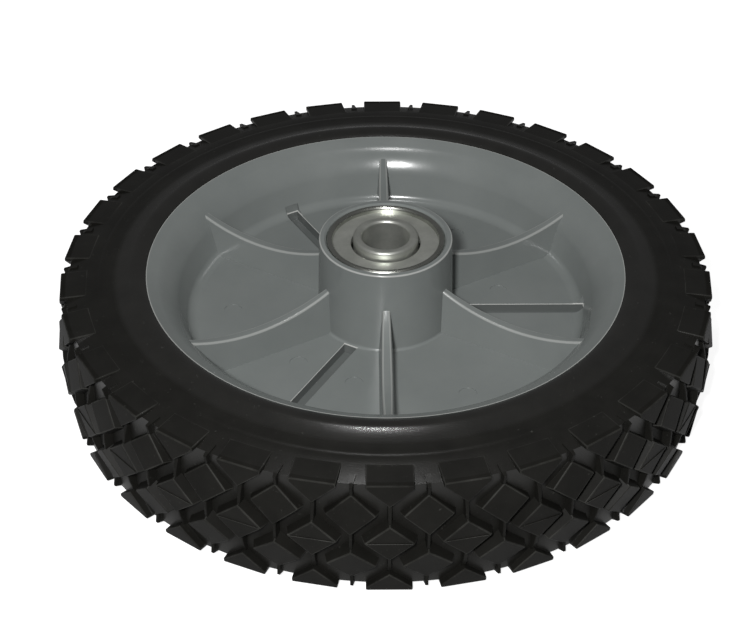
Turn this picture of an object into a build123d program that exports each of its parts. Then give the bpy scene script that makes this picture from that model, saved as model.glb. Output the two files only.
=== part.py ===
"""Small mower wheel: moulded plastic hub, rubber tyre with a diamond tread, two ball bearings.

The wheel lies with its axle along Z. The origin is on the axle, in the middle of the tyre's width,
and +Z points to the side on which the hub stands out of the tyre. Sizes are in millimetres.
"""

import os
from math import cos, hypot, pi, radians, sin, sqrt, tan

from build123d import *

os.makedirs("parts", exist_ok=True)

# Tyre: 7 inches across and 1.5 inches wide
RIM_EDGE_RADIUS = 64.2
BEAD_WIDTH = 8.1
BAND_WIDTH = 7.4
LUG_DEPTH = 9.2
TYRE_WIDTH = 38.1
SIDE_RECESS = 1.3
BEAD_CREST = 3.2
TYRE_FIT = 0.05

# Tread: three rows of diamond blocks on a crowned face, with lugs at both shoulders
PITCH_COUNT = 30
TREAD_DEPTH = 3.0
CROWN_RADIUS = 35.0
ROW_ANGLE = 13.5
BLOCK_WIDTH = 12.0
BLOCK_HEIGHT = 10.9
GROOVE_TAPER = 12.0
NOTCH_WIDTH = 5.4
NOTCH_RUN = 5.5
NOTCH_DROP = 1.75
LUG_TILT = 8.0
LUG_CORNER_DROP = 2.1
SIDE_FALL = 0.7
SIDE_RUN_ON = 0.4

# Hub
LIP_RECESS = 0.9
LIP_EDGE = 1.5
LIP_WIDTH = 6.9
LIP_DROP = 4.0
LIP_ROUND = 6.0
WALL_RUN = 3.8
RIM_WALL = 3.0
FLOOR_HEIGHT = 2.0
WEB_THICKNESS = 4.5
FLOOR_FILLET = 3.0
BOSS_RADIUS = 17.8
BOSS_DRAFT = 0.6
BOSS_STAND_OUT = 6.95
BOSS_LENGTH = 39.9
SEAT_CHAMFER = 0.5
SEAT_SHOULDER = 3.8

# Ribs and grooves of the hub
RIB_COUNT = 6
RIB_FIRST_ANGLE = 30.0
RIB_TOP_WIDTH = 1.9
RIB_DRAFT = 4.3
RIB_BOSS_HEIGHT = 13.7
RIB_DIP_HEIGHT = 8.3
RIB_DIP_RADIUS = 40.0
RIB_LIP_INSET = 0.3
RIB_ROOT = 1.0
BACK_RIB_BOSS_HEIGHT = 9.0
BACK_RIB_DIP_HEIGHT = 6.5
SLOT_COUNT = 3
SLOT_WIDTH = 3.4
SLOT_DEPTH = 2.0
SLOT_BOSS_GAP = 0.5
SLOT_WALL_REACH = 1.0
PIN_MARK_RADIUS = 2.4
PIN_MARK_DEPTH = 0.25
PIN_MARK_CIRCLE = 41.8
PIN_MARK_ANGLE = 60.0
SLOT_MARK_CIRCLE = 32.8
SLOT_MARK_ANGLE = 15.0

# Bearings: half-inch bore, quarter-inch balls
BORE_RADIUS = 6.35
RING_WALL = 2.35
RING_MOUTH = 0.7
RING_STAND_OUT = 0.7
BALL_RADIUS = 3.175
BALL_COUNT = 10
BALL_PLAY = 0.05
TRACK_SLOPE = 20.0
BALL_PITCH_RADIUS = 11.45
CUP_WALL = 1.2
CUP_END_GAP = 0.1
CUP_LIP_HEIGHT = 1.6
CUP_LIP_WIDTH = 1.7
CUP_LIP_CHAMFER = 0.5
BALL_SIDE_GAP = 0.3
SHIELD_THICKNESS = 0.8
SHIELD_GAP = 0.6
SHIELD_GRIP = 0.5
PRESS_FIT = 0.02

# Radii and heights that follow from the sizes above
half_width = TYRE_WIDTH / 2
side_height = half_width - SIDE_RECESS
bead_radius = RIM_EDGE_RADIUS + BEAD_WIDTH
notch_radius = bead_radius + BAND_WIDTH
tyre_radius = notch_radius + LUG_DEPTH
groove_radius = tyre_radius - TREAD_DEPTH

lip_height = half_width - LIP_RECESS
wall_top_radius = RIM_EDGE_RADIUS - LIP_WIDTH
wall_top_height = lip_height - LIP_DROP
wall_foot_radius = wall_top_radius - WALL_RUN
web_back = FLOOR_HEIGHT - WEB_THICKNESS
channel_shoulder_radius = wall_top_radius + RIM_WALL
channel_shoulder_height = wall_top_height - LIP_EDGE
channel_radius = wall_foot_radius + RIM_WALL

boss_front = half_width + BOSS_STAND_OUT
boss_back = boss_front - BOSS_LENGTH
hub_middle = (boss_front + boss_back) / 2

ring_radius = BORE_RADIUS + RING_WALL
ball_edge = 2 * BALL_RADIUS / sqrt(5 + 2 * sqrt(2))
ball_cube = ball_edge * (1 + sqrt(2))
track_radius = BALL_PITCH_RADIUS + BALL_RADIUS + BALL_PLAY
cup_radius = track_radius + CUP_WALL
seat_radius = cup_radius + PRESS_FIT
seat_chamfer = min(SEAT_CHAMFER, (BOSS_RADIUS - seat_radius) / 2)
shield_hole_radius = ring_radius + SHIELD_GAP
shield_seat_radius = track_radius + SHIELD_GRIP
cup_lip_radius = cup_radius - CUP_LIP_WIDTH
ring_track_radius = BALL_PITCH_RADIUS - (BALL_RADIUS + BALL_PLAY) / cos(radians(TRACK_SLOPE))
ring_track_reach = (ring_radius - ring_track_radius) / tan(radians(TRACK_SLOPE))
cup_front = boss_front - CUP_END_GAP
shield_front = cup_front - CUP_LIP_HEIGHT
shield_back = shield_front - SHIELD_THICKNESS
ball_height = shield_back - BALL_SIDE_GAP - BALL_RADIUS
cup_inside = ball_height - BALL_RADIUS - BALL_SIDE_GAP
cup_back = cup_inside - CUP_WALL
ring_front = boss_front + RING_STAND_OUT
ring_back = 2 * ball_height - ring_front

# Tread pattern: blocks set on their points, the outer rows tilted with the crown, and lugs in between
pitch_angle = 360 / PITCH_COUNT
block_half_width = BLOCK_WIDTH / 2
block_half_height = BLOCK_HEIGHT / 2
block_inradius = block_half_width * block_half_height / hypot(block_half_width, block_half_height)
row_height = CROWN_RADIUS * sin(radians(ROW_ANGLE))
row_drop = CROWN_RADIUS * (1 - cos(radians(ROW_ANGLE)))
row_lift = block_half_height * sin(radians(ROW_ANGLE))
block_face_radius = min(sqrt(tyre_radius**2 - block_half_width**2), tyre_radius + row_drop - row_lift)
root_radius = groove_radius - 2 * TREAD_DEPTH
block_root = block_inradius + (block_face_radius - root_radius) * tan(radians(GROOVE_TAPER))
crown_axis = Axis((block_face_radius - CROWN_RADIUS, 0, 0), (0, 1, 0))

notch_pitch = 2 * pi * notch_radius / PITCH_COUNT
lug_half_width = (notch_pitch - NOTCH_WIDTH) / 2
lug_tip = 2 * row_height - block_half_height
lug_side = lug_tip + lug_half_width * block_half_height / block_half_width
lug_corner_radius = tyre_radius - LUG_CORNER_DROP
lug_corner_height = side_height - SIDE_FALL
lug_tip_radius = lug_corner_radius + (lug_corner_height - lug_tip) * tan(radians(LUG_TILT))
lug_root_radius = root_radius - LUG_DEPTH / 2


def tread_plane(radius):
    """Plane that faces outwards along X at a radius, with Z up in the sketch."""
    return Plane(origin=(radius, 0, 0), x_dir=(0, 1, 0), z_dir=(1, 0, 0))


def export(piece, name):
    """Label a finished piece and write its file."""
    piece.part.label = name
    export_step(piece.part, f"parts/{name}.step")


# One diamond block: a tapered ridge along one pair of its sides, cut by its own mirror image
with BuildPart() as diamond:
    with BuildSketch(Plane((0, 0, 0), x_dir=(1, 0, 0), z_dir=(0, -block_half_width, block_half_height))):
        with BuildLine():
            Polyline(
                (root_radius, block_root),
                (block_face_radius, block_inradius),
                (block_face_radius, -block_inradius),
                (root_radius, -block_root),
                close=True,
            )
        make_face()
    extrude(amount=BLOCK_WIDTH + BLOCK_HEIGHT, both=True)
    mirror(about=Plane.XY, mode=Mode.INTERSECT)

# One shoulder lug: its side profile cut to a pentagon that points at the middle of the tread
with BuildPart() as lug:
    with BuildSketch(Plane.XZ):
        with BuildLine():
            Polyline(
                (lug_root_radius, lug_tip),
                (lug_tip_radius, lug_tip),
                (lug_corner_radius, lug_corner_height),
                (notch_radius + SIDE_RUN_ON, side_height),
                (lug_root_radius, side_height),
                close=True,
            )
        make_face()
    extrude(amount=lug_half_width, both=True)
    with BuildSketch(tread_plane(0)):
        with BuildLine():
            Polyline(
                (0, lug_tip),
                (lug_half_width, lug_side),
                (lug_half_width, half_width),
                (-lug_half_width, half_width),
                (-lug_half_width, lug_side),
                close=True,
            )
        make_face()
    extrude(amount=tyre_radius, mode=Mode.INTERSECT)

# Tyre: the carcass turned about the axle, with the tread fused on all the way round
with BuildPart() as tyre:
    with BuildSketch(Plane.XZ):
        with BuildLine():
            Polyline(
                (channel_radius + TYRE_FIT, 0),
                (channel_shoulder_radius + TYRE_FIT, channel_shoulder_height),
                (RIM_EDGE_RADIUS + TYRE_FIT, lip_height - LIP_EDGE),
                (RIM_EDGE_RADIUS + TYRE_FIT, lip_height),
                (RIM_EDGE_RADIUS + BEAD_CREST, half_width),
                (bead_radius, side_height),
                (notch_radius, side_height),
                (notch_radius + NOTCH_RUN, side_height - NOTCH_DROP),
                (groove_radius, 0),
                close=True,
            )
        make_face()
        mirror(about=Plane.XZ)
    revolve(axis=Axis.Z)
    with PolarLocations(0, PITCH_COUNT):
        add([diamond.part.rotate(crown_axis, -ROW_ANGLE), diamond.part.rotate(crown_axis, ROW_ANGLE)])
    with PolarLocations(0, PITCH_COUNT, start_angle=pitch_angle / 2):
        add([diamond.part, lug.part, lug.part.mirror(Plane.XY)])

export(tyre, "tyre")


def make_rib(boss_height, dip_height, wall_height):
    """A drafted rib along X from the boss to the wall, standing on Z = 0, its top a hollow arc."""
    inner = max(BOSS_RADIUS - RIB_ROOT, seat_radius)
    outer = wall_top_radius + RIB_ROOT
    spread = boss_height * tan(radians(RIB_DRAFT))
    with BuildPart() as rib:
        with BuildSketch(Plane.YZ.offset(inner)):
            with BuildLine():
                Polyline(
                    (RIB_TOP_WIDTH / 2, boss_height),
                    (RIB_TOP_WIDTH / 2 + spread, 0),
                    (RIB_TOP_WIDTH / 2 + spread, -RIB_ROOT),
                    (-RIB_TOP_WIDTH / 2 - spread, -RIB_ROOT),
                    (-RIB_TOP_WIDTH / 2 - spread, 0),
                    (-RIB_TOP_WIDTH / 2, boss_height),
                    close=True,
                )
            make_face()
        extrude(amount=outer - inner)
        with BuildSketch(Plane.XZ):
            with BuildLine():
                top = ThreePointArc((inner, boss_height), (RIB_DIP_RADIUS, dip_height), (outer, wall_height))
                Polyline(top @ 1, (wall_foot_radius + RIB_ROOT, -RIB_ROOT), (inner, -RIB_ROOT), top @ 0)
            make_face()
        extrude(amount=RIB_TOP_WIDTH + spread, both=True, mode=Mode.INTERSECT)
    return rib.part


front_rib = make_rib(RIB_BOSS_HEIGHT, RIB_DIP_HEIGHT, wall_top_height - FLOOR_HEIGHT - RIB_LIP_INSET)
back_rib = make_rib(BACK_RIB_BOSS_HEIGHT, BACK_RIB_DIP_HEIGHT, wall_top_height + web_back - RIB_LIP_INSET)
back_rib = back_rib.mirror(Plane.XY)

# Hub: rim, web and boss turned in one piece, then ribs, grooves and pin marks
with BuildPart() as wheel_hub:
    with BuildSketch(Plane.XZ):
        with BuildLine():
            Polyline(
                (seat_radius, boss_front - seat_chamfer),
                (seat_radius + seat_chamfer, boss_front),
                (BOSS_RADIUS, boss_front),
                (BOSS_RADIUS + BOSS_DRAFT, FLOOR_HEIGHT),
                (wall_foot_radius, FLOOR_HEIGHT),
                (wall_top_radius, wall_top_height),
                (RIM_EDGE_RADIUS, lip_height),
                (RIM_EDGE_RADIUS, lip_height - LIP_EDGE),
                (channel_shoulder_radius, channel_shoulder_height),
                (channel_radius, 0),
                (channel_shoulder_radius, -channel_shoulder_height),
                (RIM_EDGE_RADIUS, LIP_EDGE - lip_height),
                (RIM_EDGE_RADIUS, -lip_height),
                (wall_top_radius, -wall_top_height),
                (wall_foot_radius, web_back),
                (BOSS_RADIUS + BOSS_DRAFT, web_back),
                (BOSS_RADIUS, boss_back),
                (seat_radius + seat_chamfer, boss_back),
                (seat_radius, boss_back + seat_chamfer),
                (seat_radius, 2 * hub_middle - cup_back),
                (seat_radius - SEAT_SHOULDER, 2 * hub_middle - cup_back),
                (seat_radius - SEAT_SHOULDER, cup_back),
                (seat_radius, cup_back),
                close=True,
            )
        make_face()
        fillet(vertices().sort_by_distance((wall_foot_radius, FLOOR_HEIGHT))[0], FLOOR_FILLET)
        fillet(vertices().sort_by_distance((wall_top_radius, wall_top_height))[0], LIP_ROUND)
        fillet(vertices().sort_by_distance((wall_top_radius, -wall_top_height))[0], LIP_ROUND)
    revolve(axis=Axis.Z)
    with PolarLocations(0, RIB_COUNT, start_angle=RIB_FIRST_ANGLE):
        add(
            [
                front_rib.moved(Location((0, 0, FLOOR_HEIGHT))),
                back_rib.moved(Location((0, 0, web_back))),
            ]
        )
    slot_start = BOSS_RADIUS + BOSS_DRAFT + SLOT_BOSS_GAP
    slot_end = wall_foot_radius + SLOT_WALL_REACH
    with BuildSketch(Plane.XY.offset(FLOOR_HEIGHT - SLOT_DEPTH)):
        with PolarLocations((slot_start + slot_end) / 2, SLOT_COUNT):
            Rectangle(slot_end - slot_start, SLOT_WIDTH)
    extrude(amount=SLOT_DEPTH + FLOOR_FILLET, mode=Mode.SUBTRACT)
    with BuildSketch(Plane.XY.offset(FLOOR_HEIGHT - PIN_MARK_DEPTH)):
        with PolarLocations(PIN_MARK_CIRCLE, SLOT_COUNT, start_angle=PIN_MARK_ANGLE):
            Circle(PIN_MARK_RADIUS)
        for turn in (-SLOT_MARK_ANGLE, SLOT_MARK_ANGLE):
            with PolarLocations(SLOT_MARK_CIRCLE, SLOT_COUNT, start_angle=turn):
                Circle(PIN_MARK_RADIUS)
    extrude(amount=PIN_MARK_DEPTH, mode=Mode.SUBTRACT)

export(wheel_hub, "wheel_hub")

# Bearing cup: a drawn steel shell with its front lip rolled over the shield
with BuildPart() as cup:
    with BuildSketch(Plane.XZ):
        with BuildLine():
            Polyline(
                (cup_radius, cup_back),
                (cup_radius, cup_front - CUP_LIP_CHAMFER),
                (cup_radius - CUP_LIP_CHAMFER, cup_front),
                (cup_lip_radius + CUP_LIP_CHAMFER, cup_front),
                (cup_lip_radius, cup_front - CUP_LIP_CHAMFER),
                (cup_lip_radius, shield_front),
                (shield_seat_radius, shield_front),
                (shield_seat_radius, shield_back),
                (track_radius, shield_back),
                (track_radius, cup_inside),
                (shield_hole_radius, cup_inside),
                (shield_hole_radius, cup_back),
                close=True,
            )
        make_face()
    revolve(axis=Axis.Z)

# Shield: a flat washer held in the cup
with BuildPart() as shield:
    with BuildSketch(Plane.XY.offset(shield_back)):
        Circle(shield_seat_radius - PRESS_FIT)
        Circle(shield_hole_radius, mode=Mode.SUBTRACT)
    extrude(amount=SHIELD_THICKNESS)

# Inner ring: the bore for the axle, and a shallow track for the balls
with BuildPart() as ring:
    with BuildSketch(Plane.XZ):
        with BuildLine():
            Polyline(
                (BORE_RADIUS, ring_back + RING_MOUTH),
                (BORE_RADIUS, ring_front - RING_MOUTH),
                (BORE_RADIUS + RING_MOUTH, ring_front),
                (ring_radius - RING_MOUTH, ring_front),
                (ring_radius, ring_front - RING_MOUTH),
                (ring_radius, ball_height + ring_track_reach),
                (ring_track_radius, ball_height),
                (ring_radius, ball_height - ring_track_reach),
                (ring_radius, ring_back),
                (BORE_RADIUS + RING_MOUTH, ring_back),
                close=True,
            )
        make_face()
    revolve(axis=Axis.Z)

# Ball, a cube with chamfered edges: few faces, because the bearings hold so many balls
with BuildPart() as ball:
    with Locations((BALL_PITCH_RADIUS, 0, ball_height)):
        Box(ball_cube, ball_cube, ball_cube)
    chamfer(edges(), ball_edge / sqrt(2))

# The back bearing is the front one turned round about the hub's middle
for side in ("front", "back"):
    for name, piece in (("bearing_cup", cup), ("shield", shield), ("inner_ring", ring)):
        with BuildPart() as bearing_piece:
            add(piece.part)
            if side == "back":
                mirror(about=Plane.XY.offset(hub_middle), mode=Mode.REPLACE)
        export(bearing_piece, f"{side}_{name}")
    for number in range(BALL_COUNT):
        with BuildPart() as bearing_ball:
            add(ball.part.rotate(Axis.Z, 360 * number / BALL_COUNT))
            if side == "back":
                mirror(about=Plane.XY.offset(hub_middle), mode=Mode.REPLACE)
        export(bearing_ball, f"{side}_ball_{number + 1:02d}")
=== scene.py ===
"""Finished look of a small mower wheel: rubber tyre, moulded hub and two ball bearings.

Laid out as an add-on: every size and colour is a property, and each piece has its own operator.
The axle lies along Z, and the side on which the hub stands out of the tyre is called the front.
"""

from math import asin, cos, hypot, pi, radians, sin, sqrt, tan

import bmesh
import bpy
from bpy.props import FloatProperty, FloatVectorProperty, IntProperty, PointerProperty
from bpy.types import Operator, Panel, PropertyGroup
from mathutils import Matrix, Vector


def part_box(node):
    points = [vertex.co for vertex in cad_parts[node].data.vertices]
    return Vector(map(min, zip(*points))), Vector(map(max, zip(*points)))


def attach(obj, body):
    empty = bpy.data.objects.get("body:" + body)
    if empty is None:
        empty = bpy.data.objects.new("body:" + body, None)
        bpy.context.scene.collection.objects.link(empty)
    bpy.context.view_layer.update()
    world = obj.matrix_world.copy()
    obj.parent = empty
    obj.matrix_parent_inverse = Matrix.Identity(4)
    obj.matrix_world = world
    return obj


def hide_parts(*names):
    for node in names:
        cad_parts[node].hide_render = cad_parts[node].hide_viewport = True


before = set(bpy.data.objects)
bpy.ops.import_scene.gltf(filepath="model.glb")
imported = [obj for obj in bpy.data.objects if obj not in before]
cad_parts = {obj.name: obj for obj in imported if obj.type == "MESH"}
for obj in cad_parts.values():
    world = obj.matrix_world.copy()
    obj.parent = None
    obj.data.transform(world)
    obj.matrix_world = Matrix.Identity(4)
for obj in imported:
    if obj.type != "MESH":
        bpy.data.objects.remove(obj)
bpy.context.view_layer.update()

bl_info = {
    "name": "Mower wheel",
    "version": (1, 0, 0),
    "blender": (4, 5, 0),
    "location": "3D View > Sidebar > Wheel",
    "description": "Builds the tyre, hub and bearings of a small mower wheel on its packed frame",
    "category": "Add Mesh",
}

MM = 0.001
AXLE = (0, 0, 1)
CENTRE = (0, 0, 0)
SIDES = ("front", "back")
# Face attribute for the materials: above 0 paints edges paler as a painted highlight, on the tyre partly
# scuffs too; below 0 paints the floor grooves darker as painted shade.
EDGE = "rounded_edge"


def length(name, description, millimetres):
    """A size property, written in millimetres and kept in metres."""
    return FloatProperty(
        name=name, description=description, default=millimetres * MM, unit="LENGTH", precision=5
    )


def turn(name, description, degrees):
    """An angle property, written in degrees."""
    return FloatProperty(name=name, description=description, default=radians(degrees), subtype="ANGLE")


def spot(name, description, *millimetres):
    """A point in space, written in millimetres and kept in metres."""
    metres = [value * MM for value in millimetres]
    return FloatVectorProperty(name=name, description=description, default=metres, subtype="TRANSLATION")


def portion(name, description, value):
    """A factor from 0 to 1."""
    return FloatProperty(name=name, description=description, default=value, subtype="FACTOR", min=0, max=1)


def wattage(name, description, watts):
    """The power of a lamp."""
    return FloatProperty(name=name, description=description, default=watts, unit="POWER")


def colour(name, description, red, green, blue):
    """A linear colour property."""
    return FloatVectorProperty(
        name=name, description=description, default=(red, green, blue), subtype="COLOR", min=0, max=1
    )


class TyreSettings(PropertyGroup):
    """Sizes and colours of the rubber tyre."""

    inner_radius: length("Inside radius", "Middle of the tyre's inner face", 56.55)
    seat_radius: length("Seat radius", "Shoulder of the tyre's inner face", 60.35)
    seat_height: length("Seat height", "Height of that shoulder", 12.65)
    rim_radius: length("Rim radius", "Where the tyre meets the edge of the hub", 64.25)
    rim_height: length("Rim height", "Height of the hub's edge", 18.1)
    rim_depth: length("Rim depth", "Thickness of the hub's edge", 1.5)
    crest_radius: length("Bead crest radius", "Top of the bead ridge", 67.4)
    crest_height: length("Bead crest height", "Half the width of the tyre", 19.05)
    crest_width: length("Bead crest width", "Width of the rounding on the bead's outer side", 1.4)
    crest_fall: length("Bead crest fall", "Drop across that rounding", 0.23)
    bead_radius: length("Bead radius", "Foot of the bead ridge", 72.3)
    side_height: length("Side height", "Height of the flat band beside the bead", 17.75)
    crease_radius: length("Crease radius", "Small step in the flat band", 76.4)
    crease_drop: length("Crease drop", "Depth of that step", 0.3)
    crease_run: length("Crease run", "Width of that step", 1.0)
    crease_round: length("Crease rounding", "Rounding of that step", 0.4)
    notch_radius: length("Notch radius", "Inner end of the notches between the lugs", 79.7)
    notch_run: length("Notch run", "Length of a notch floor along the radius", 5.5)
    notch_drop: length("Notch drop", "Fall of a notch floor", 1.75)
    groove_radius: length("Groove radius", "Floor of the tread grooves", 85.9)
    outer_radius: length("Outer radius", "Highest points of the tread blocks", 88.9)
    crown_radius: length("Crown radius", "Curve of the tread across its width", 35)
    row_angle: turn("Row angle", "Tilt of the outer rows of blocks", 13.5)
    pitches: IntProperty(name="Pitches", description="Tread pitches round the tyre", default=30, min=3)
    block_width: length("Block width", "Width of a block round the tyre, from point to point", 12.0)
    block_height: length("Block height", "Height of a block across the tread, from point to point", 10.9)
    block_taper: turn("Block taper", "Draft on the walls of a block", 12)
    root_depth: length("Root depth", "How far blocks reach under the groove floor", 3.0)
    lug_width: length("Lug width", "Width of a shoulder lug", 11.3)
    lug_corner: length("Lug corner", "Radius of a lug's upper corner", 86.8)
    lug_fall: length("Lug fall", "Fall of a lug's top from the band to its corner", 0.7)
    lug_tilt: turn("Lug tilt", "Lean of a lug's face", 8)
    edge_round: length("Edge rounding", "Rounding of the tread's edges", 0.3)
    # Paleness painted on the tread's edges: partly scuffs, partly a painted highlight.
    edge_highlight: portion("Edge highlight", "How much paler the tread's edges are", 0.5)
    fin_width: length("Fin width", "Width of the thin fins between blocks", 0.7)
    fin_recess: length("Fin recess", "How far the fins stay below the blocks", 0.5)
    fin_draft: turn("Fin draft", "Draft on the sides of a fin", 7)
    fin_bite: length("Fin bite", "How far a fin runs on beside the point of a block", 1.0)
    flash_width: length("Flash width", "Width of the mould's parting line", 0.4)
    flash_height: length("Flash height", "Height of the mould's parting line", 0.2)
    flash_length: length("Flash length", "Length of the parting line on a block", 10.8)
    rubber: colour("Rubber", "Plain colour of the rubber", 0.006, 0.0058, 0.005)
    bloom: colour("Bloom", "Paler film on the rubber", 0.0095, 0.0092, 0.008)
    # Colour of the scuffs and of the painted highlight on the tread's edges.
    scuff_and_highlight: colour("Scuff and highlight", "Pale scuffs and painted highlights on the tread", 0.085, 0.085, 0.078)


class HubSettings(PropertyGroup):
    """Sizes and colours of the moulded hub."""

    edge_radius: length("Edge radius", "Outer edge of the lip", 64.2)
    edge_height: length("Edge height", "Height of the lip's outer edge", 18.15)
    edge_depth: length("Edge depth", "Thickness of the lip's outer edge", 1.5)
    wall_top_radius: length("Wall top radius", "Where the lip turns down into the bowl", 57.3)
    wall_top_height: length("Wall top height", "Height of that turn", 14.15)
    wall_foot_radius: length("Wall foot radius", "Foot of the bowl's wall", 53.5)
    rim_wall: length("Rim wall", "Thickness of the rim", 3.0)
    lip_round: length("Lip rounding", "Curve from the lip into the bowl, from its corner to its end", 4.6)
    wall_round: length("Wall rounding", "Rounding at the foot of the bowl's wall", 2.2)
    edge_round: length("Edge rounding", "Rounding of the lip's outer edge", 0.3)
    # Paleness painted on the lip and boss edges: a painted highlight.
    edge_highlight: portion("Edge highlight", "How much paler the edges of lip and boss are", 0.4)
    floor_height: length("Floor height", "Front face of the web", 2.0)
    web_back: length("Web back", "Back face of the web", -2.5)
    boss_radius: length("Boss radius", "Outside of the boss at its end", 17.8)
    boss_draft: length("Boss draft", "Growth of the boss towards the web", 0.6)
    boss_round: length("Boss rounding", "Rounding of the boss's ends", 0.35)
    boss_foot_round: length("Boss foot rounding", "Rounding where the boss meets the web", 0.8)
    boss_front: length("Boss front", "Front end of the boss", 26.0)
    boss_back: length("Boss back", "Back end of the boss", -13.9)
    seat_radius: length("Seat radius", "Bearing seat in the boss", 15.895)
    seat_chamfer: length("Seat chamfer", "Chamfer at the mouth of the seat", 0.5)
    seat_depth: length("Seat depth", "Depth of the bearing seat", 10.65)
    shoulder: length("Seat shoulder", "Step behind the bearing", 3.8)
    ribs: IntProperty(name="Ribs", description="Ribs on each side of the web", default=6, min=1)
    rib_angle: turn("Rib angle", "Direction of the first rib", 30)
    rib_width: length("Rib width", "Width of a rib's top at the boss", 1.9)
    rib_draft: turn("Rib draft", "Draft on the sides of a rib", 4.3)
    rib_boss_height: length("Rib height at the boss", "Front ribs, above the floor", 13.7)
    rib_dip_height: length("Rib height at its dip", "Front ribs, above the floor", 8.3)
    rib_dip_radius: length("Rib dip radius", "Lowest part of a rib's top", 40)
    rib_wall_inset: length("Rib wall inset", "How far a rib ends below the lip", 0.3)
    rib_sink: length("Rib sink", "How far ribs reach into what carries them", 1.0)
    rib_round: length("Rib rounding", "Rounding along the top of a rib", 0.5)
    # Paleness painted on the rib tops: a painted highlight.
    rib_highlight: portion("Rib highlight", "How much paler the tops of the ribs are", 0.25)
    back_rib_boss_height: length("Back rib height at the boss", "Behind the web", 9.0)
    back_rib_dip_height: length("Back rib height at its dip", "Behind the web", 6.5)
    slots: IntProperty(name="Grooves", description="Grooves in the floor", default=3, min=1)
    slot_width: length("Groove width", "Width of a floor groove", 3.8)
    slot_depth: length("Groove depth", "Depth of a floor groove", 2.8)
    slot_edge: length("Groove edge", "Broken edge along a floor groove", 0.12)
    # Paleness painted on the broken edge of a groove: a painted highlight.
    slot_highlight: portion("Groove highlight", "How much paler that edge is", 0.6)
    # Darkening painted into the floor grooves: painted shade.
    slot_shade: portion("Groove shade", "How much darker the grooves are", 0.5)
    slot_start: length("Groove start", "Inner end of a floor groove", 18.9)
    slot_end: length("Groove end", "Outer end of a floor groove", 54.5)
    mark_radius: length("Pin mark radius", "Ejector pin marks in the floor", 2.4)
    mark_depth: length("Pin mark depth", "Depth of the pin marks", 0.22)
    mark_circle: length("Pin mark circle", "Circle of the single marks", 41.8)
    pair_circle: length("Pin pair circle", "Circle of the marks beside the grooves", 32.8)
    pair_angle: turn("Pin pair angle", "Angle between a groove and a mark beside it", 15)
    plastic: colour("Plastic", "Plain colour of the plastic", 0.138, 0.15, 0.146)
    flow: colour("Flow marks", "Paler streaks in the plastic", 0.158, 0.17, 0.165)
    # Colour of the painted highlight on the plastic's edges.
    edge: colour("Edges", "Pale edges of the plastic", 0.5, 0.5, 0.48)
    # Colour of the painted shade in the floor grooves.
    groove_shade: colour("Painted groove shade", "Painted shade in the floor grooves", 0.04, 0.043, 0.042)


class BearingSettings(PropertyGroup):
    """Sizes and colours of the two bearings, given for the front one."""

    bore_radius: length("Bore radius", "Bore for the axle", 6.35)
    ring_radius: length("Ring radius", "Outside of the inner ring", 8.7)
    ring_front: length("Ring front", "Outer end of the inner ring", 26.7)
    ring_back: length("Ring back", "Inner end of the inner ring", 13.35)
    ring_round: length("Ring rounding", "Rounding at the ends of the inner ring", 0.75)
    track_depth: length("Track depth", "Depth of the ball track in the inner ring", 0.6)
    track_reach: length("Track reach", "Half the width of that track", 1.746)
    cup_radius: length("Cup radius", "Outside of the outer shell", 15.875)
    cup_front: length("Cup front", "Rolled lip of the outer shell", 25.9)
    cup_back: length("Cup back", "Inner end of the outer shell", 15.35)
    cup_wall: length("Cup wall", "Thickness of the outer shell", 1.2)
    lip_width: length("Lip width", "Width of the rolled lip", 1.7)
    lip_round: length("Lip rounding", "Rounding of the rolled lip", 0.75)
    shield_front: length("Shield front", "Outer face of the shield", 24.3)
    shield_thickness: length("Shield thickness", "Thickness of the shield", 0.8)
    shield_radius: length("Shield radius", "Outside of the shield", 15.155)
    shield_hole: length("Shield hole", "Hole in the shield", 9.3)
    shield_play: length("Shield play", "Gap round the shield in its bed", 0.02)
    shield_round: length("Shield rounding", "Rounding at the shield's hole", 0.15)
    ball_radius: length("Ball radius", "Steel balls", 3.175)
    ball_height: length("Ball height", "Middle of the balls", 20.025)
    ball_circle: length("Ball circle", "Circle of the balls", 11.45)
    balls: IntProperty(name="Balls", description="Balls in each bearing", default=10, min=3)
    middle: length("Hub middle", "Plane about which the back bearing mirrors the front one", 6.05)
    steel: colour("Steel", "Plated steel", 0.54, 0.55, 0.51)
    worn: colour("Dull steel", "Duller patches of the steel", 0.36, 0.37, 0.34)
    chrome: colour("Ball steel", "Polished balls", 0.72, 0.72, 0.72)


class StageSettings(PropertyGroup):
    """Camera, lamps and floor."""

    distance: length("Distance", "From the camera to the wheel's centre", 462.56)
    elevation: turn("Elevation", "Height of the camera above the wheel's plane", 37.476)
    azimuth: turn("Azimuth", "Turn of the camera round the axle, from -Y", -0.91)
    pan: turn("Pan", "Camera turned to the left", 0.351)
    tilt: turn("Tilt", "Camera turned upwards", 0.204)
    roll: turn("Roll", "Camera rolled to the right", -0.351)
    lens: FloatProperty(name="Lens", description="Focal length", default=80.53, unit="CAMERA")
    lamp_place: spot("Overhead lamp", "Lamp above the wheel", -9, -15, 317)
    lamp_size: length("Overhead size", "Width of that lamp", 25)
    lamp_power: wattage("Overhead power", "Power of that lamp", 0.14)
    flash_place: spot("Flash", "Lamp beside the camera", -45, -360, 310)
    flash_size: length("Flash size", "Width of that lamp", 35)
    flash_power: wattage("Flash power", "Power of that lamp", 2.45)
    surroundings: portion("Surroundings", "Strength of the plain light from all sides", 0.12)
    seen: portion("Floor to the camera", "Strength with which the camera sees the floor", 0.9)
    mirrored: portion("Floor in reflections", "Strength with which metal and glass see the floor", 0.3)
    floor_size: length("Floor size", "Width of the floor", 6000)
    floor: colour("Floor", "Pale floor", 0.4, 0.4, 0.4)


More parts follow.
